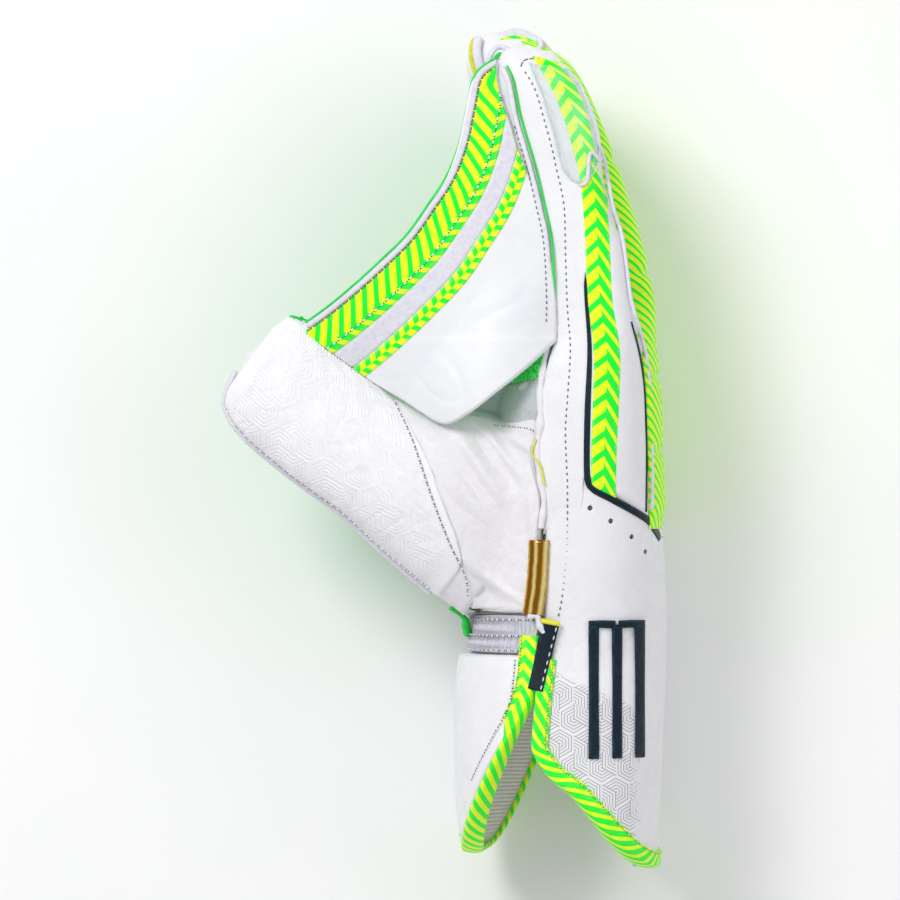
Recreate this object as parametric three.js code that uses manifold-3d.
// Wicketkeeping glove for the right hand, lying on its little-finger edge.
// +X points to the back of the hand, +Y to the fingertips and +Z to the thumb side. Millimetres.
import * as THREE from 'three';
import { mergeVertices } from 'three/addons/utils/BufferGeometryUtils.js';
import Module from 'manifold-3d';

const wasm = await Module();
wasm.setup();

// Driving sizes
const HAND_LENGTH = 121.8; // wrist line to finger base
const CUFF_LENGTH = 93; // wrist line to the tip of the back cuff flap
const HAND_DEPTH = 82.8; // palm to back at the wrist
const THUMB_LENGTH = 115.8;
const THUMB_WIDTH = 51.7; // across the thumb, seen from its back
const THUMB_THICKNESS = 36;
const SHELL_WALL = 5; // padded leather of the hand and the back flap
const STALL_WALL = 3.6; // padded leather of fingers and thumb
const FLAP_WALL = 6; // padded palm cuff flap
const FACING = 1.5; // pimpled rubber
const LEATHER = 1.1; // strips and panels sewn on top
const WEB_THICKNESS = 2.2;
const WEB_RISE = 9; // how far the slack web bows out towards the thumb side
const RIDGE_HEIGHT = 3.2; // padded rolls on the back of the hand
const BINDING_WIDTH = 6.2;
const BINDING_THICKNESS = 1.2;
const CLEARANCE = 0.35; // between pieces that touch
const FLAT_DEPTH = 2; // how far the little-finger edge is pressed flat where it lies
const FINGER_TIP = 0.78; // share of a finger's length where its round tip starts
const WEB_BINDING = { width: 0.9, thickness: 0.9 };
const WEB_LAP = 1.2; // how far the web lies over the finger
const WELT_WIDTH = 3.7;
const WELT_HEIGHT = 1.9;
const OUTLINE_WIDTH = 2.7;
const VENT_RADIUS = 1;
const GOLD_TAG = { width: 7.6, thickness: 1.6 };
const NAVY_TAG = { width: 6.8, thickness: 1.2, proud: 1.6 }; // proud: it lies over the cuff binding
const EMBLEM = { bar: 4.4, bail: 3.2, thickness: 1.3 };

// length: base to tip. width: across the hand. root and tip: palm-to-back depth at either end.
// base: where its centre line starts, as a share of HAND_DEPTH. lean: how far the tip comes forward, and curl the
// exponent of that lean.
const FINGERS = {
  little: { length: 92.6, width: 29, root: 38, tip: 31, base: 0.125, lean: 30, curl: 1.85, square: 2.7 },
  ring: { length: 120.5, width: 30, root: 45, tip: 36, base: 0.128, lean: 42.5, curl: 1.85, square: 2.8 },
  middle: { length: 124.6, width: 30.5, root: 47, tip: 39.5, base: 0.135, lean: 38, curl: 1.85, square: 2.8 },
  index: { length: 117.5, width: 29.5, root: 37, tip: 34.5, base: 0.122, lean: 28.5, curl: 1.3, square: 2.6 },
};

// Stack the fingers up from the little-finger edge.
let stacked = -FLAT_DEPTH;
for (const finger of Object.values(FINGERS)) {
  finger.middle = stacked + finger.width / 2;
  stacked += finger.width + CLEARANCE;
}
const HAND_WIDTH = stacked - CLEARANCE + FLAT_DEPTH;

// Sections across the hand and cuff. at: 1 at the finger base, 0 at the wrist, -1 at the tip of the back flap.
// palm and back are shares of HAND_DEPTH, low and high shares of HAND_WIDTH, square is the oval's exponent.
const HAND = [
  { at: -1, palm: -0.49, back: 0.45, low: 0.03, high: 0.955, square: 2.6 },
  { at: -0.771, palm: -0.52, back: 0.462, low: 0.035, high: 0.96, square: 2.6 },
  { at: -0.551, palm: -0.525, back: 0.474, low: 0.035, high: 0.96, square: 2.6 },
  { at: -0.286, palm: -0.52, back: 0.488, low: 0.035, high: 0.95, square: 2.5 },
  { at: 0, palm: -0.5, back: 0.497, low: 0.015, high: 0.935, square: 2.5 },
  { at: 0.253, palm: -0.48, back: 0.485, low: 0, high: 0.96, square: 2.6 },
  { at: 0.387, palm: -0.455, back: 0.466, low: 0, high: 0.975, square: 2.7 },
  { at: 0.589, palm: -0.411, back: 0.452, low: 0, high: 0.99, square: 2.8 },
  { at: 0.791, palm: -0.342, back: 0.441, low: 0, high: 1, square: 2.9 },
  { at: 0.909, palm: -0.262, back: 0.426, low: 0, high: 1, square: 3 },
  { at: 1, palm: -0.178, back: 0.406, low: 0, high: 1, square: 3 },
];

// The side seam between back leather and palm leather. across is a share of HAND_DEPTH.
const SEAM = [
  { at: -1, across: -0.185 },
  { at: -0.485, across: -0.185 },
  { at: -0.286, across: -0.168 },
  { at: 0, across: -0.136 },
  { at: 0.185, across: -0.142 },
  { at: 0.325, across: -0.132 },
  { at: 0.458, across: -0.113 },
  { at: 0.59, across: -0.157 },
  { at: 0.689, across: -0.137 },
  { at: 0.79, across: -0.134 },
  { at: 0.887, across: -0.113 },
  { at: 1, across: -0.069 },
];

// The same seam where it runs on up the index finger. at is a share of the finger's length.
const INDEX_SEAM = [
  { at: 0, across: -0.069 },
  { at: 0.153, across: -0.074 },
  { at: 0.323, across: -0.113 },
  { at: 0.492, across: -0.171 },
  { at: 0.628, across: -0.244 },
  { at: 0.764, across: -0.307 },
  { at: 0.927, across: -0.395 },
];

// Sections across the thumb. at: 0 near the wrist, 1 at the tip. middle and half are shares of THUMB_WIDTH,
// rise (the centre's height) is a share of HAND_WIDTH, thick a share of THUMB_THICKNESS.
const THUMB = [
  { at: -0.2, middle: 0.23, half: 0.8, rise: 0.7, thick: 0.6 },
  { at: 0, middle: 0.2, half: 0.76, rise: 0.735, thick: 0.71 },
  { at: 0.23, middle: 0.135, half: 0.66, rise: 0.765, thick: 0.67 },
  { at: 0.39, middle: 0.04, half: 0.525, rise: 0.78, thick: 0.58 },
  { at: 0.56, middle: 0, half: 0.492, rise: 0.785, thick: 0.52 },
  { at: 0.71, middle: 0.016, half: 0.5, rise: 0.785, thick: 0.5 },
  { at: 0.83, middle: 0.03, half: 0.49, rise: 0.785, thick: 0.49 },
  { at: 0.91, middle: 0.03, half: 0.43, rise: 0.78, thick: 0.43 },
  { at: 0.965, middle: 0.03, half: 0.3, rise: 0.775, thick: 0.31 },
  { at: 1, middle: 0.03, half: 0, rise: 0.77, thick: 0 },
];
const THUMB_ROOT = { across: -0.475, along: 0.3535 }; // shares of HAND_DEPTH and HAND_LENGTH
const THUMB_ANGLE = THREE.MathUtils.degToRad(143);
const THUMB_SQUARE = 2.4;
const CROTCH_HEM = 13; // plain leather between the palm's rubber and the thumb

// The web's outline, seen from the thumb side. across is a share of HAND_DEPTH, along of the index finger's length
// above the finger base, so below 0 is over the palm.
const WEB_TOP_EDGE = [
  { across: -0.365, along: 0.908 },
  { across: -0.468, along: 0.724 },
  { across: -0.579, along: 0.516 },
  { across: -0.763, along: 0.337 },
  { across: -0.971, along: 0.19 },
  { across: -1.19, along: 0.077 },
  { across: -1.317, along: 0.026 },
];
const WEB_LOW_EDGE = [
  { across: -0.1, along: -0.02 },
  { across: -0.235, along: -0.113 },
  { across: -0.38, along: -0.198 },
  { across: -0.516, along: -0.275 },
  { across: -0.63, along: -0.305 },
  { across: -0.793, along: -0.232 },
  { across: -0.951, along: -0.162 },
];

// Where the bands on the web lie, as shares of its depth from the top edge. at: 0 at the finger, 1 at the thumb.
const WEB_BANDS = [
  { at: 0, tapeTop: 0.02, tapeLow: 0.134, stripTop: 0.26, stripLow: 0.43 },
  { at: 0.5, tapeTop: 0.02, tapeLow: 0.222, stripTop: 0.312, stripLow: 0.41 },
  { at: 1, tapeTop: 0.05, tapeLow: 0.6, stripTop: 0.78, stripLow: 0.95 },
];

// Places on the thumb side of the hand: across is a share of HAND_DEPTH, along a share of HAND_LENGTH from the wrist.
const WINDOW_EDGES = [
  { from: { across: -0.132, along: 1.858 }, to: { across: -0.014, along: 1.854 } },
  { from: { across: -0.074, along: 1.679 }, to: { across: 0.083, along: 1.765 } },
  { from: { across: -0.04, along: 1.564 }, to: { across: 0.132, along: 1.682 } },
  { from: { across: -0.011, along: 1.494 }, to: { across: 0.151, along: 1.583 } },
];
const INDEX_STRIP_EDGES = [
  { from: { across: 0.043, along: 1.475 }, to: { across: 0.15, along: 1.55 } },
  { from: { across: 0.077, along: 1.3 }, to: { across: 0.205, along: 1.301 } },
  { from: { across: 0.086, along: 1.118 }, to: { across: 0.216, along: 1.119 } },
  { from: { across: 0.116, along: 0.953 }, to: { across: 0.253, along: 0.953 } },
  { from: { across: 0.113, along: 0.788 }, to: { across: 0.25, along: 0.788 } },
  { from: { across: 0.112, along: 0.623 }, to: { across: 0.238, along: 0.623 } },
  { from: { across: 0.12, along: 0.51 }, to: { across: 0.233, along: 0.465 } },
];
const OUTLINE_PATH = [
  { across: 0.06, along: 1.211 },
  { across: 0.062, along: 1.019 },
  { across: 0.082, along: 0.9 },
  { across: 0.086, along: 0.788 },
  { across: 0.086, along: 0.557 },
  { across: 0.106, along: 0.484 },
  { across: 0.213, along: 0.44 },
  { across: 0.326, along: 0.4 },
  { across: 0.41, along: 0.37 },
];
const VENTS = [
  { across: 0.106, along: 0.431 },
  { across: 0.208, along: 0.388 },
  { across: 0.312, along: 0.335 },
  { across: 0.38, along: 0.285 },
];
const GOLD_TAG_PATH = [
  { across: -0.142, along: 0.319 },
  { across: -0.156, along: 0.2 },
  { across: -0.167, along: 0.084 },
];
const NAVY_TAG_PATH = [
  { across: -0.085, along: 0.05 },
  { across: -0.118, along: -0.06 },
  { across: -0.155, along: -0.171 },
];
const EMBLEM_BARS = { across: [0.126, 0.24, 0.354], top: 0.044, foot: -0.4 };
const EMBLEM_BAILS = [
  [0.1, 0.232],
  [0.248, 0.38],
];
const PANEL_LINE = [
  { across: -0.818, along: 0.805 },
  { across: -0.467, along: 0.125 },
];

const NOTCH = 0.485; // top of the side notch below the wrist, as a share of CUFF_LENGTH
const PALM_FLAP_TIP = 0.95;
const PALM_FLAP_TOP = 0.072;
const BACK_TONGUE = 2.8; // exponents of the flaps' rounded lower edges
const PALM_TONGUE = 3.6;
const WRIST_BAND_TOP = 0.075; // share of HAND_LENGTH

const MATERIALS = {
  leather: { color: 0xe9e8ee, roughness: 0.45 },
  band: { color: 0xd8d6e2, roughness: 0.8 },
  rubber: { color: 0x12cf3e, roughness: 0.6 },
  tape: { color: 0x9af52a, roughness: 0.5 },
  navy: { color: 0x0b2a36, roughness: 0.5 },
  gold: { color: 0xb8963c, roughness: 0.2, metalness: 1 },
  window: { color: 0xcfe6dc, roughness: 0.2 },
};

// Smooth reading of one column of a table at a share between its rows.
function column(rows, key, at) {
  let i = 0;
  while (i < rows.length - 2 && at > rows[i + 1].at) i += 1;
  const [a, b] = [rows[i], rows[i + 1]];
  const slope = (p, q) => (q[key] - p[key]) / (q.at - p.at);
  const here = slope(a, b);
  const before = i > 0 ? slope(rows[i - 1], a) : here;
  const after = i + 2 < rows.length ? slope(b, rows[i + 2]) : here;
  const span = b.at - a.at;
  const s = THREE.MathUtils.clamp((at - a.at) / span, 0, 1);
  const start = ((before + here) / 2) * span;
  const end = ((here + after) / 2) * span;
  const rise = b[key] - a[key];
  return a[key] + s * (start + s * (3 * rise - 2 * start - end + s * (start + end - 2 * rise)));
}

const mix = THREE.MathUtils.lerp;
const power = (x, n) => Math.sign(x) * Math.abs(x) ** n;
const range = (count) => Array.from({ length: count }, (_, i) => i);
const steps = (count, from = 0, to = 1) => range(count + 1).map((i) => mix(from, to, i / count));

// A point of an oval section. turn: 0 faces the back of the hand, 0.25 the thumb side, 0.5 the palm.
function ovalPoint({ u, z, a, b, square }, turn) {
  const angle = 2 * Math.PI * turn;
  return [u + a * power(Math.cos(angle), 2 / square), z + b * power(Math.sin(angle), 2 / square)];
}

// The turn at which a section, on its thumb side, reaches a given place across.
function turnAcross({ u, a, square }, across) {
  const q = THREE.MathUtils.clamp((across - u) / a, -1, 1);
  return Math.acos(power(q, square / 2)) / (2 * Math.PI);
}

// The turn at which a section, on its back, reaches a given height.
function turnHeight({ z, b, square }, height) {
  const q = THREE.MathUtils.clamp((height - z) / b, -1, 1);
  return Math.asin(power(q, square / 2)) / (2 * Math.PI);
}

// The hand and cuff: v is the distance from the wrist line, positive to the fingers.
const handShare = (v) => (v > 0 ? v / HAND_LENGTH : v / CUFF_LENGTH);
const hand = {
  section(v) {
    const at = handShare(v);
    const [palm, back] = [column(HAND, 'palm', at), column(HAND, 'back', at)];
    const [low, high] = [column(HAND, 'low', at), column(HAND, 'high', at)];
    return {
      u: ((palm + back) / 2) * HAND_DEPTH,
      a: ((back - palm) / 2) * HAND_DEPTH,
      z: -FLAT_DEPTH + ((low + high) / 2) * HAND_WIDTH,
      b: ((high - low) / 2) * HAND_WIDTH,
      square: column(HAND, 'square', at),
    };
  },
  point(v, turn, lift = 0) {
    const s = hand.section(v);
    const [u, z] = ovalPoint({ ...s, a: s.a + lift, b: s.b + lift }, turn);
    return new THREE.Vector3(u, v, z);
  },
};
const seamAcross = (v) => column(SEAM, 'across', handShare(v)) * HAND_DEPTH;
const seamTurn = (v, offset = 0) => turnAcross(hand.section(v), seamAcross(v) + offset);

// A finger stall: s is the share of its length. A lift moves the surface out, or in where negative.
const FINGER_BASE = HAND_LENGTH + CLEARANCE;
function fingerForm(finger) {
  const round = (s) => {
    const t = THREE.MathUtils.clamp((s - FINGER_TIP) / (1 - FINGER_TIP), 0, 1);
    return Math.sqrt(1 - t ** 2.9);
  };
  const section = (s, lift = 0) => ({
    u: finger.base * HAND_DEPTH - finger.lean * Math.max(s, 0) ** finger.curl,
    a: (mix(finger.root, finger.tip, Math.min(1, s * 2.2)) / 2 + lift) * round(s),
    z: finger.middle,
    b: (finger.width / 2 + lift) * round(s),
    square: finger.square,
  });
  const place = (s, lift) => FINGER_BASE + s * (finger.length + lift);
  const point = (s, turn, lift = 0) => {
    const [u, z] = ovalPoint(section(s, lift), turn);
    return new THREE.Vector3(u, place(s, lift), z);
  };
  return { section, point, place };
}

// The thumb stall: its length runs up and forward from a root beside the wrist.
const thumb = {
  section(at, lift = 0) {
    const half = column(THUMB, 'half', at);
    const thick = column(THUMB, 'thick', at);
    return {
      u: column(THUMB, 'middle', at) * THUMB_WIDTH,
      a: half * THUMB_WIDTH + lift * Math.min(1, half / 0.4),
      z: -FLAT_DEPTH + column(THUMB, 'rise', at) * HAND_WIDTH,
      b: thick * THUMB_THICKNESS + lift * Math.min(1, thick / 0.4),
      square: THUMB_SQUARE,
    };
  },
  point(at, turn, lift = 0) {
    const [q, z] = ovalPoint(thumb.section(at, lift), turn);
    const p = at * (THUMB_LENGTH + lift);
    const [c, s] = [Math.cos(THUMB_ANGLE), Math.sin(THUMB_ANGLE)];
    return new THREE.Vector3(
      THUMB_ROOT.across * HAND_DEPTH + c * p + s * q,
      THUMB_ROOT.along * HAND_LENGTH + s * p - c * q,
      z,
    );
  },
};

// A closed solid through rings of equal length. The first and last may be single points.
// From turnedFrom on round a ring, its faces are split along their other diagonal.
function loft(rings, capFaces, turnedFrom = Infinity) {
  const positions = rings.flat().flatMap((p) => [p.x, p.y, p.z]);
  const starts = [];
  let count = 0;
  for (const ring of rings) {
    starts.push(count);
    count += ring.length;
  }
  const faces = [];
  for (let i = 0; i + 1 < rings.length; i += 1) {
    const [m, n] = [rings[i].length, rings[i + 1].length];
    const around = Math.max(m, n);
    for (let j = 0; j < around; j += 1) {
      const k = (j + 1) % around;
      const [a, b] = [starts[i] + (m > 1 ? j : 0), starts[i] + (m > 1 ? k : 0)];
      const [c, d] = [starts[i + 1] + (n > 1 ? j : 0), starts[i + 1] + (n > 1 ? k : 0)];
      if (j >= turnedFrom) faces.push([a, b, c], [b, d, c]);
      else {
        if (m > 1) faces.push([a, b, d]);
        if (n > 1) faces.push([a, d, c]);
      }
    }
  }
  const last = rings.length - 1;
  if (rings[0].length > 1) faces.push(...capFaces.map(([a, b, c]) => [c, b, a]));
  if (rings[last].length > 1) {
    faces.push(...capFaces.map((face) => face.map((index) => index + starts[last])));
  }
  return facesOut(positions, faces);
}

// Turns every face round if the solid came out inside out.
function facesOut(positions, faces) {
  const at = (i) => new THREE.Vector3().fromArray(positions, 3 * i);
  const volume = faces.reduce((sum, [a, b, c]) => sum + at(a).dot(at(b).cross(at(c))), 0);
  const index = faces.flatMap(([a, b, c]) => (volume < 0 ? [a, c, b] : [a, b, c]));
  return new THREE.BufferGeometry()
    .setAttribute('position', new THREE.Float32BufferAttribute(positions, 3))
    .setIndex(index);
}

// Cap of a ring made of an outer row and the inner row run backwards.
function stripCap(count) {
  return range(count / 2 - 1).flatMap((j) => [
    [j, j + 1, count - 2 - j],
    [j, count - 2 - j, count - 1 - j],
  ]);
}

// A sheet with thickness: point(r, w, side) for side 0, its under face, and 1, its outer face.
function sheet(rows, columns, point) {
  const across = steps(columns);
  const rings = steps(rows).map((r) => [
    ...across.map((w) => point(r, w, 1)),
    ...across.map((w) => point(r, w, 0)).reverse(),
  ]);
  return loft(rings, stripCap(2 * (columns + 1)), columns + 1);
}

const ring = (form, at, count, lift) => range(count).map((j) => form.point(at, j / count, lift));
const fanCap = (count) => range(count - 2).map((j) => [0, j + 1, j + 2]);

// A finger or thumb stall as a solid plug, closed at its base, of the size given by lift.
function plug(form, shares, count, lift) {
  const rings = shares.slice(0, -1).map((s) => ring(form, s, count, lift));
  return loft([...rings, [form.point(1, 0, lift)]], fanCap(count));
}

// manifold-3d joins and cuts the closed meshes.
function solidOf(geometry) {
  const bare = geometry.clone().deleteAttribute('normal').deleteAttribute('uv');
  const merged = mergeVertices(bare, 1e-4);
  return new wasm.Manifold(
    new wasm.Mesh({
      numProp: 3,
      vertProperties: merged.attributes.position.array,
      triVerts: new Uint32Array(merged.index.array),
    }),
  );
}

function geometryOf(solid) {
  const mesh = solid.getMesh();
  return new THREE.BufferGeometry()
    .setAttribute('position', new THREE.BufferAttribute(mesh.vertProperties, 3))
    .setIndex(new THREE.BufferAttribute(mesh.triVerts, 1));
}

// What lies below the surface is pressed flat on it.
const GROUND = 1000;
const ground = solidOf(new THREE.BoxGeometry(GROUND, GROUND, GROUND).translate(0, 0, -GROUND / 2));
const pressedFlat = (geometry) => geometryOf(solidOf(geometry).subtract(ground));
// Cuts the tools away and keeps the largest piece.
function cut(geometry, ...tools) {
  const left = tools.reduce((solid, tool) => solid.subtract(solidOf(tool)), solidOf(geometry));
  return geometryOf(left.decompose().reduce((a, b) => (b.volume() > a.volume() ? b : a)));
}

const glove = new THREE.Group();
function add(name, geometry, material) {
  const mesh = new THREE.Mesh(geometry, new THREE.MeshStandardMaterial(MATERIALS[material]));
  mesh.name = name;
  glove.add(mesh);
}

// Hand and cuff shells
const handLevels = [1, 0.93, 0.84, 0.73, 0.61, 0.49, 0.37, 0.24, 0.12, 0];
const PALM_LOW = WRIST_BAND_TOP + CLEARANCE / HAND_LENGTH;
const PALM_SHELL_LOW = PALM_LOW * HAND_LENGTH;
const palmLevels = [PALM_LOW, 0.24, 0.37, 0.49, 0.61, 0.73, 0.84, 0.93, 1];

// Below the wrist the two flaps stand apart at the side slit, by room for the binding on each edge.
const BOUND_GAP = BINDING_THICKNESS + 1.7 * CLEARANCE;
const backGap = (v) => mix(CLEARANCE, BOUND_GAP, THREE.MathUtils.smoothstep(-v, 0, 6));
const palmGap = (v) => (v > PALM_SHELL_LOW - 0.1 ? CLEARANCE : BOUND_GAP);

function tongue(w, notch, tip, exponent) {
  return -CUFF_LENGTH * mix(tip, notch, Math.abs(2 * w - 1) ** exponent);
}
const backEdge = (w) => tongue(w, NOTCH, 1, BACK_TONGUE);
const palmEdge = (w) => tongue(w, NOTCH, PALM_FLAP_TIP, PALM_TONGUE);

// w: 0 at the little-finger seam, 1 at the thumb-side seam, over the back of the hand.
const backTurn = (v, w, grow = 0) => mix(-1, 1, w) * seamTurn(v, backGap(v) - grow);
// w: 0 at the thumb-side seam, 1 at the little-finger seam, over the palm.
const palmTurn = (v, w, grow = 0) => {
  const turn = seamTurn(v, grow - palmGap(v));
  return mix(turn, 1 - turn, w);
};

// The palm flap's outer face stands proud, with a round shoulder at its top.
function palmLift(v, w) {
  const shoulder = Math.min(1, (-v / CUFF_LENGTH - PALM_FLAP_TOP) * 9 + 0.15);
  const nearSeam = THREE.MathUtils.smoothstep(Math.min(w, 1 - w), 0, 0.12);
  return 2.6 * nearSeam * Math.sqrt(1 - (1 - Math.max(0, shoulder)) ** 2) * (1 - 0.7 * (v / CUFF_LENGTH) ** 4);
}

// The two cuff flaps. levels run from the flap's top to its edge, and below 0 they reach over what lies above it.
const FLAPS = {
  back: {
    top: 0,
    edge: backEdge,
    turn: backTurn,
    lift: () => 0,
    levels: [1 / 6, 2 / 6, 3 / 6, 4 / 6, 5 / 6, 1],
    above: 0,
    wall: SHELL_WALL,
    bound: 5.4,
  },
  palm: {
    top: -PALM_FLAP_TOP * CUFF_LENGTH,
    edge: palmEdge,
    turn: palmTurn,
    lift: palmLift,
    levels: [0, 0.06, 0.13, 0.4, 0.7, 0.9, 1],
    above: -0.2,
    wall: FLAP_WALL,
    bound: BINDING_WIDTH,
  },
};
const FLAP_COLUMNS = 12;

// One layer of a flap, from lift low to high. grow moves its edges out, and only the outermost row and columns.
function flapLayer(flap, levels, low, high, grow = 0) {
  const rows = levels.length - 1;
  return sheet(rows, FLAP_COLUMNS, (r, w, side) => {
    const level = levels[Math.round(r * rows)];
    const v = mix(flap.top, flap.edge(w) - (r === 1 ? grow : 0), level);
    const turn = flap.turn(v, w, w % 1 ? 0 : grow);
    return hand.point(v, turn, flap.lift(v, w) + (side ? high : low));
  });
}

// The flap's edge tape: what a thicker and longer flap has over the flap and over all that is further in.
function flapBinding(flap) {
  const [gap, over] = [CLEARANCE, CLEARANCE + BINDING_THICKNESS];
  const start = flap.above || flap.levels[0];
  const levels = flap.above ? [start, ...flap.levels] : flap.levels;
  const outer = flapLayer(flap, levels, -flap.wall - over, over, over);
  const inner = flapLayer(flap, [start - 0.15, ...levels], -flap.wall - gap, gap, gap);
  const core = sheet(8, FLAP_COLUMNS, (r, w, side) => {
    const v = mix(12, flap.edge(w) + flap.bound * 1.15, r);
    return hand.point(v, flap.turn(v, w, -flap.bound), side ? 15 : -15);
  });
  return cut(outer, inner, core);
}

function backShell() {
  const { levels, edge } = FLAPS.back;
  const rows = handLevels.length + levels.length - 1;
  return sheet(rows, FLAP_COLUMNS, (r, w, side) => {
    const i = Math.round(r * rows);
    const v = i < handLevels.length ? handLevels[i] * HAND_LENGTH : levels[i - handLevels.length] * edge(w);
    return hand.point(v, backTurn(v, w), (side - 1) * SHELL_WALL);
  });
}

const PALM_COLUMNS = 12;
function palmSheet(levels, from, to, point) {
  const rows = levels.length - 1;
  return sheet(rows, to - from, (r, w, side) => {
    const v = levels[Math.round(r * rows)] * HAND_LENGTH;
    return hand.point(v, palmTurn(v, mix(from, to, w) / PALM_COLUMNS), point(side));
  });
}
const palmShell = () => palmSheet(palmLevels, 0, PALM_COLUMNS, (side) => (side - 1) * SHELL_WALL);

const BAND_INNER = 4.4;
function wristBand() {
  const low = -PALM_FLAP_TOP * CUFF_LENGTH + CLEARANCE;
  return sheet(4, 12, (r, w, side) => {
    const v = mix(low, WRIST_BAND_TOP * HAND_LENGTH, r);
    const tuck = 0.6 + 0.9 * Math.sin(Math.PI * r);
    return hand.point(v, palmTurn(v, w), side ? -tuck : -BAND_INNER);
  });
}

const palmCuff = () => flapLayer(FLAPS.palm, FLAPS.palm.levels, -FLAP_WALL, 0);

// Finger stalls
const STALL_ROWS = [0, 0.17, 0.34, 0.52, 0.68, 0.8, 0.88, 0.94, 0.98, 1];
const CAVITY_ROWS = [0, 0.25, 0.5, 0.72, 0.86, 0.95, 1];
const STALL_SIDES = 14;
const forms = Object.fromEntries(Object.entries(FINGERS).map(([name, finger]) => [name, fingerForm(finger)]));

function fingerStall(form) {
  const outer = STALL_ROWS.slice(0, -1).map((s) => ring(form, s, STALL_SIDES, 0));
  const inner = CAVITY_ROWS.slice(0, -1).map((s) => ring(form, s, STALL_SIDES, -STALL_WALL));
  const outerTip = [form.point(1, 0, 0)];
  const innerTip = [form.point(1, 0, -STALL_WALL)];
  return loft([outerTip, ...outer.reverse(), ...inner, innerTip], []);
}

// A skin over part of a stall, on the same rows and sides as the stall itself.
function skin(form, rows, sides, [firstRow, lastRow], [firstSide, lastSide], thickness) {
  return sheet(lastRow - firstRow, lastSide - firstSide, (r, w, side) => {
    const at = rows[Math.round(mix(firstRow, lastRow, r))];
    return form.point(at, mix(firstSide, lastSide, w) / sides, CLEARANCE + side * thickness);
  });
}
const fingerFacing = (form) => skin(form, STALL_ROWS, STALL_SIDES, [0, 7], [form === forms.index ? 6 : 5, 9], FACING);
const fingerStrip = (form) => skin(form, STALL_ROWS, STALL_SIDES, [0, 6], [-2, 2], LEATHER);

// Thumb
const THUMB_ROWS = [-0.2, -0.07, 0.07, 0.21, 0.36, 0.52, 0.68, 0.81, 0.9, 0.955, 0.985, 1];
const THUMB_CAVITY_ROWS = [-0.26, 0, 0.23, 0.42, 0.6, 0.78, 0.9, 0.965, 1];
const handBlock = (lift) =>
  loft(
    steps(12, -0.6 * CUFF_LENGTH, HAND_LENGTH).map((v) => ring(hand, v, 28, lift)),
    fanCap(28),
  );
const thumbCavity = plug(thumb, THUMB_CAVITY_ROWS, 16, -STALL_WALL);
const THUMB_SIDES = 18;
const thumbBlock = (lift) => plug(thumb, THUMB_ROWS, THUMB_SIDES, lift);
const thumbStall = () => cut(thumbBlock(0), handBlock(CLEARANCE), thumbCavity);

// A place on the thumb side, as a point at height 0.
const sidePlace = ({ across, along }) => new THREE.Vector3(across * HAND_DEPTH, along * HAND_LENGTH, 0);

// The embossed panel covers the thumb's back from the tip to a line that slants down to the wrist.
function panelCut() {
  const [from, to] = PANEL_LINE.map(sidePlace);
  const box = new THREE.BoxGeometry(GROUND, GROUND, GROUND).translate(GROUND / 2, 0, 0);
  const line = to.clone().sub(from);
  return box.rotateZ(Math.atan2(-line.x, line.y) + Math.PI).translate(from.x, from.y, 0);
}
const thumbPanel = () =>
  cut(skin(thumb, THUMB_ROWS, THUMB_SIDES, [0, 9], [2, 8], LEATHER), handBlock(2 * CLEARANCE), panelCut());
const thumbFacing = () =>
  cut(skin(thumb, THUMB_ROWS, THUMB_SIDES, [2, 9], [10, 17], FACING), handBlock(2 * CLEARANCE + FACING));
const palmFacing = () =>
  cut(palmSheet(palmLevels.slice(1), 1, 10, (side) => CLEARANCE + side * FACING), thumbBlock(CROTCH_HEM));

// Web between index finger and thumb
const indexPlace = ({ across, along }) =>
  new THREE.Vector3(across * HAND_DEPTH, FINGER_BASE + along * FINGERS.index.length, 0);
const webTop = new THREE.CatmullRomCurve3(WEB_TOP_EDGE.map(indexPlace));
const webLow = new THREE.CatmullRomCurve3(WEB_LOW_EDGE.map(indexPlace));
const seamPlace = (s) => indexPlace({ across: column(INDEX_SEAM, 'across', s), along: s });

// Height of the thumb side of hand and index finger over a place.
function sideHeight(u, v) {
  const section = v < FINGER_BASE - CLEARANCE / 2
    ? hand.section(v)
    : forms.index.section(THREE.MathUtils.clamp((v - FINGER_BASE) / FINGERS.index.length, 0, 0.97));
  const q = Math.min(1, Math.abs((u - section.u) / section.a));
  return section.z + section.b * (1 - q ** section.square) ** (1 / section.square);
}

// The furthest a seam may lie towards the palm and still be on the thumb side.
function onSide(v) {
  const section = forms.index.section(THREE.MathUtils.clamp((v - FINGER_BASE) / FINGERS.index.length, 0, 0.97));
  return section.u - 0.85 * section.a;
}
const indexBlock = plug(forms.index, STALL_ROWS, STALL_SIDES, CLEARANCE);

// The web laps over the finger at its seam.
function webSeam(s) {
  const place = seamPlace(s);
  return place.setX(Math.max(place.x + WEB_LAP, onSide(place.y)));
}

// Flat place of the web: p runs from the finger to the thumb, r from the top edge to the low edge.
function webPlace(p, r) {
  const [start, tip] = [webTop.getPoint(0), webTop.getPoint(1)];
  const [low, root] = [webLow.getPoint(0), webLow.getPoint(1)];
  const along = webTop.getPoint(p).lerp(webLow.getPoint(p), r);
  const finger = webSeam(mix(WEB_TOP_EDGE[0].along, WEB_LOW_EDGE[0].along, r));
  const across = finger.lerp(tip.clone().lerp(root, r), p);
  return along.add(across).sub(start.lerp(low, r).lerp(tip.lerp(root, r), p));
}

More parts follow.
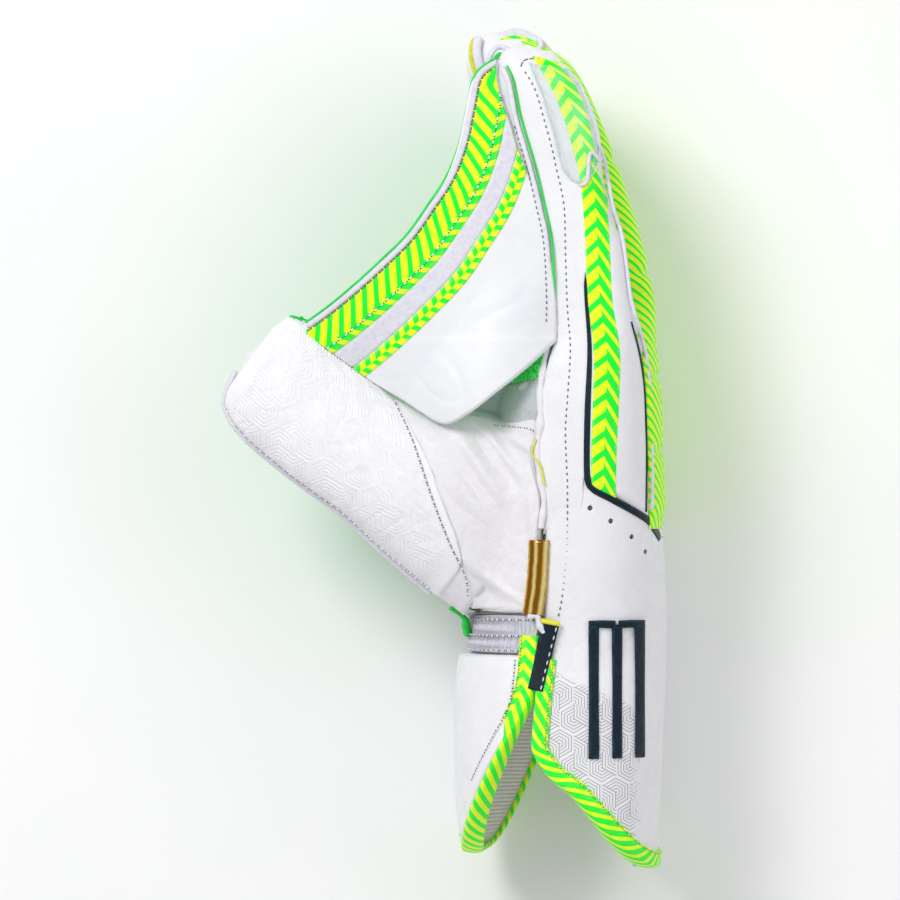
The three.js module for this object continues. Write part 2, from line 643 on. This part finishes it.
// Height of the thumb's back over a place.
function thumbHeight(u, v) {
  const [du, dv] = [u - THUMB_ROOT.across * HAND_DEPTH, v - THUMB_ROOT.along * HAND_LENGTH];
  const [c, s] = [Math.cos(THUMB_ANGLE), Math.sin(THUMB_ANGLE)];
  const section = thumb.section((c * du + s * dv) / THUMB_LENGTH);
  const q = Math.min(0.92, Math.abs((s * du - c * dv - section.u) / section.a));
  return section.z + section.b * (1 - q ** section.square) ** (1 / section.square);
}

// The web starts on the finger's seam, ends on the thumb's upper edge and bows up between them.
const thumbEdge = { start: webTop.getPoint(1), along: webLow.getPoint(1).sub(webTop.getPoint(1)).normalize() };
function webHeight(u, v) {
  const s = THREE.MathUtils.clamp((v - FINGER_BASE) / FINGERS.index.length, WEB_LOW_EDGE[0].along, 0.9);
  const seam = webSeam(s);
  const fromFinger = Math.max(0, seam.x - u);
  const [du, dv] = [u - thumbEdge.start.x, v - thumbEdge.start.y];
  const fromThumb = Math.max(0, dv * thumbEdge.along.x - du * thumbEdge.along.y);
  const down = du * thumbEdge.along.x + dv * thumbEdge.along.y;
  const foot = thumbEdge.start.clone().addScaledVector(thumbEdge.along, down);
  const thumbSide = thumbHeight(foot.x, foot.y) + 1.3 * CLEARANCE + WEB_THICKNESS / 2;
  const fingerSide = sideHeight(seam.x, seam.y) + CLEARANCE + WEB_THICKNESS / 2;
  const whole = fromFinger + fromThumb + 1e-6;
  const bow = (4 * fromFinger * fromThumb) / whole ** 2;
  return (fingerSide * fromThumb + thumbSide * fromFinger) / whole + WEB_RISE * bow;
}
const onWeb = (place, lift) => new THREE.Vector3(place.x, place.y, webHeight(place.x, place.y) + lift);

// Web and bands share one grid, whose first rows follow the bands.
const WEB_ROWS = 9;
const WEB_COLUMNS = 12;
function webRow(p, row) {
  const [top, low] = [column(WEB_BANDS, 'tapeTop', p), column(WEB_BANDS, 'tapeLow', p)];
  const [next, last] = [column(WEB_BANDS, 'stripTop', p), column(WEB_BANDS, 'stripLow', p)];
  const rows = [0, top, (top + low) / 2, low, next, last];
  return rows[row] ?? mix(last, 1, (row - 5) / (WEB_ROWS - 5));
}
function webLayer([firstRow, lastRow], [firstColumn, lastColumn], low, high) {
  return sheet(lastColumn - firstColumn, lastRow - firstRow, (c, r, side) => {
    const p = mix(firstColumn, lastColumn, c) / WEB_COLUMNS;
    const row = Math.round(mix(firstRow, lastRow, r));
    return onWeb(webPlace(p, webRow(p, row)), side ? high : low);
  });
}
const half = WEB_THICKNESS / 2;
const onTop = [half + CLEARANCE, half + CLEARANCE + LEATHER];
const beneath = [-half - CLEARANCE - FACING, -half - CLEARANCE];

// A tape folded over an edge. stations: { p, out, up } with out pointing off the edge and up off the outer face.
function foldedTape(stations, halfThickness, width, thickness) {
  const [inner, outer] = [halfThickness + CLEARANCE, halfThickness + CLEARANCE + thickness];
  const edge = CLEARANCE + thickness;
  const profile = [
    [-width, outer], [0, outer], [edge, 0.6 * outer], [edge, -0.6 * outer], [0, -outer], [-width, -outer],
    [-width, -inner], [CLEARANCE, -inner], [CLEARANCE, inner], [-width, inner],
  ].map(([x, y]) => new THREE.Vector2(x, y));
  const rings = stations.map(({ p, out, up }) =>
    profile.map(({ x, y }) => p.clone().addScaledVector(out, x).addScaledVector(up, y)));
  const turned = THREE.ShapeUtils.isClockWise(profile);
  const cap = THREE.ShapeUtils.triangulateShape(profile, []).map((face) => {
    const clockwise = THREE.ShapeUtils.isClockWise(face.map((i) => profile[i]));
    return clockwise === turned ? face : face.reverse();
  });
  return loft(rings, cap);
}

function webBinding() {
  const stations = range(WEB_COLUMNS).map((i) => {
    const p = (i + 0.9) / (WEB_COLUMNS + 0.4);
    const along = webTop.getTangent(p);
    const place = webTop.getPoint(p);
    const inward = new THREE.Vector3(-along.y, along.x, 0).multiplyScalar(WEB_BINDING.width);
    const [edge, inside] = [onWeb(place, 0), onWeb(place.clone().add(inward), 0)];
    const out = edge.clone().sub(inside).normalize();
    return { p: edge, out, up: new THREE.Vector3().crossVectors(along, out).normalize() };
  });
  return foldedTape(stations, half + CLEARANCE / 2, WEB_BINDING.width, WEB_BINDING.thickness);
}

// Leather sewn on the thumb side. rows: pairs of places, from and to, that it spans between.
function sewnPanel(rows, columns, lift, thickness) {
  const count = 2 * (rows.length - 1);
  const curves = ['from', 'to'].map((key) => new THREE.CatmullRomCurve3(rows.map((row) => sidePlace(row[key]))));
  return sheet(count, columns, (r, w, side) => {
    const place = curves[0].getPoint(r).lerp(curves[1].getPoint(r), w);
    return place.setZ(sideHeight(place.x, place.y) + lift + side * thickness);
  });
}

// A strip of even width that follows a path on the thumb side.
function sewnStrip(path, count, { width, thickness, columns = 2, lift = CLEARANCE, profile = () => 1 }) {
  const curve = new THREE.CatmullRomCurve3(path);
  return sheet(count, columns, (r, w, side) => {
    const along = curve.getTangent(r);
    const across = new THREE.Vector3(along.y, -along.x, 0).normalize();
    const place = curve.getPoint(r).addScaledVector(across, (w - 0.5) * width);
    return place.setZ(sideHeight(place.x, place.y) + lift + side * thickness * profile(w));
  });
}
const strip = (path, count, options) => sewnStrip(path.map(sidePlace), count, options);

// Raised seam: beside the web's edge on the finger, over the seam itself on the hand.
function sideWelt() {
  const beside = 3.5 * CLEARANCE + WELT_WIDTH / 2;
  const onFinger = steps(7, 0.88, -0.035).map((s) => webSeam(s).add(new THREE.Vector3(beside, 0, 0)));
  const onHand = steps(8, 0.89, 0.36).map((at) => new THREE.Vector3(seamAcross(at * HAND_LENGTH), at * HAND_LENGTH, 0));
  const path = [...onFinger, ...onHand];
  const profile = (w) => (w % 1 ? 1 : 0.4);
  const welt = sewnStrip(path, 22, { width: WELT_WIDTH, thickness: WELT_HEIGHT, columns: 3, profile });
  return cut(welt, indexBlock);
}

// Padded rolls that carry each finger's back on over the hand.
function ridge(finger) {
  const reach = finger.width / 2 - 1.2;
  const top = finger === FINGERS.index ? 0.45 : 1;
  const low = finger === FINGERS.little ? -0.6 : -1;
  return sheet(7, 5, (r, w, side) => {
    const v = mix(0.45, 0.985, r) * HAND_LENGTH;
    const height = finger.middle + mix(low, top, w) * reach;
    const mound = 0.3 + 0.7 * Math.sqrt(Math.sin(Math.PI * mix(0.06, 0.94, w)));
    const ends = THREE.MathUtils.smoothstep(Math.min(r * 1.6, (1 - r) * 2.2), -0.25, 1);
    return hand.point(v, turnHeight(hand.section(v), height), CLEARANCE + side * RIDGE_HEIGHT * mound * ends);
  });
}

// Vent holes through the back leather
function ventTool(place) {
  const { x: u, y: v } = sidePlace(place);
  const section = hand.section(v);
  const outward = new THREE.Vector3((u - section.u) / 2, 0, sideHeight(u, v) - section.z).normalize();
  const tool = new THREE.CylinderGeometry(VENT_RADIUS, VENT_RADIUS, 6 * SHELL_WALL, 6);
  tool.applyQuaternion(new THREE.Quaternion().setFromUnitVectors(new THREE.Vector3(0, 1, 0), outward));
  return tool.translate(u, v, sideHeight(u, v));
}

// Raised ornament on the back cuff: three stumps and two bails.
function emblem() {
  const { across, top, foot } = EMBLEM_BARS;
  const options = { thickness: EMBLEM.thickness };
  const bars = across.map((u) =>
    strip([{ across: u, along: top + 0.01 }, { across: u, along: foot }], 4, { ...options, width: EMBLEM.bar }));
  const bails = EMBLEM_BAILS.map(([from, to]) =>
    strip([{ across: from, along: top }, { across: to, along: top }], 3, { ...options, width: EMBLEM.bail }));
  return geometryOf([...bars, ...bails].map(solidOf).reduce((a, b) => a.add(b)));
}

add('back_shell', pressedFlat(cut(backShell(), ...VENTS.map(ventTool))), 'leather');
add('palm_shell', pressedFlat(cut(palmShell(), thumbCavity)), 'leather');
add('wrist_band', wristBand(), 'band');
add('palm_cuff', palmCuff(), 'leather');
for (const [name, finger] of Object.entries(FINGERS)) {
  const form = forms[name];
  add(name + '_stall', pressedFlat(fingerStall(form)), 'leather');
  add(name + '_facing', pressedFlat(fingerFacing(form)), 'rubber');
  add(name + '_ridge', pressedFlat(ridge(finger)), 'tape');
  if (name !== 'index') add(name + '_strip', pressedFlat(fingerStrip(form)), 'tape');
}
add('thumb_stall', thumbStall(), 'leather');
add('thumb_panel', thumbPanel(), 'leather');
add('thumb_facing', thumbFacing(), 'rubber');
add('palm_facing', palmFacing(), 'rubber');
add('web', webLayer([0, WEB_ROWS], [0, WEB_COLUMNS], -half, half), 'leather');
add('web_facing', webLayer([1, WEB_ROWS - 1], [1, WEB_COLUMNS - 1], ...beneath), 'rubber');
add('web_binding', webBinding(), 'band');
add('web_tape', webLayer([1, 3], [0, WEB_COLUMNS], ...onTop), 'tape');
add('web_strip', webLayer([4, 5], [0, WEB_COLUMNS], ...onTop), 'tape');
add('side_welt', sideWelt(), 'band');
add('index_window', cut(sewnPanel(WINDOW_EDGES, 5, -1.5, LEATHER + CLEARANCE + 1.5), indexBlock), 'window');
add('index_strip', sewnPanel(INDEX_STRIP_EDGES, 3, CLEARANCE, LEATHER), 'tape');
add('navy_outline', strip(OUTLINE_PATH, 20, { width: OUTLINE_WIDTH, thickness: LEATHER }), 'navy');
add('palm_cuff_binding', pressedFlat(flapBinding(FLAPS.palm)), 'tape');
add('back_cuff_binding', pressedFlat(flapBinding(FLAPS.back)), 'tape');
add('gold_tag', strip(GOLD_TAG_PATH, 4, GOLD_TAG), 'gold');
add('navy_tag', strip(NAVY_TAG_PATH, 4, { ...NAVY_TAG, lift: NAVY_TAG.proud + 2 * CLEARANCE }), 'navy');
add('cuff_emblem', emblem(), 'navy');

// The part's frame: origin under the middle of its outer box, on the surface it lies on.
const box = new THREE.Box3().setFromObject(glove);
const middle = box.getCenter(new THREE.Vector3());
for (const mesh of glove.children) mesh.geometry.translate(-middle.x, -middle.y, -box.min.z);

export default glove;
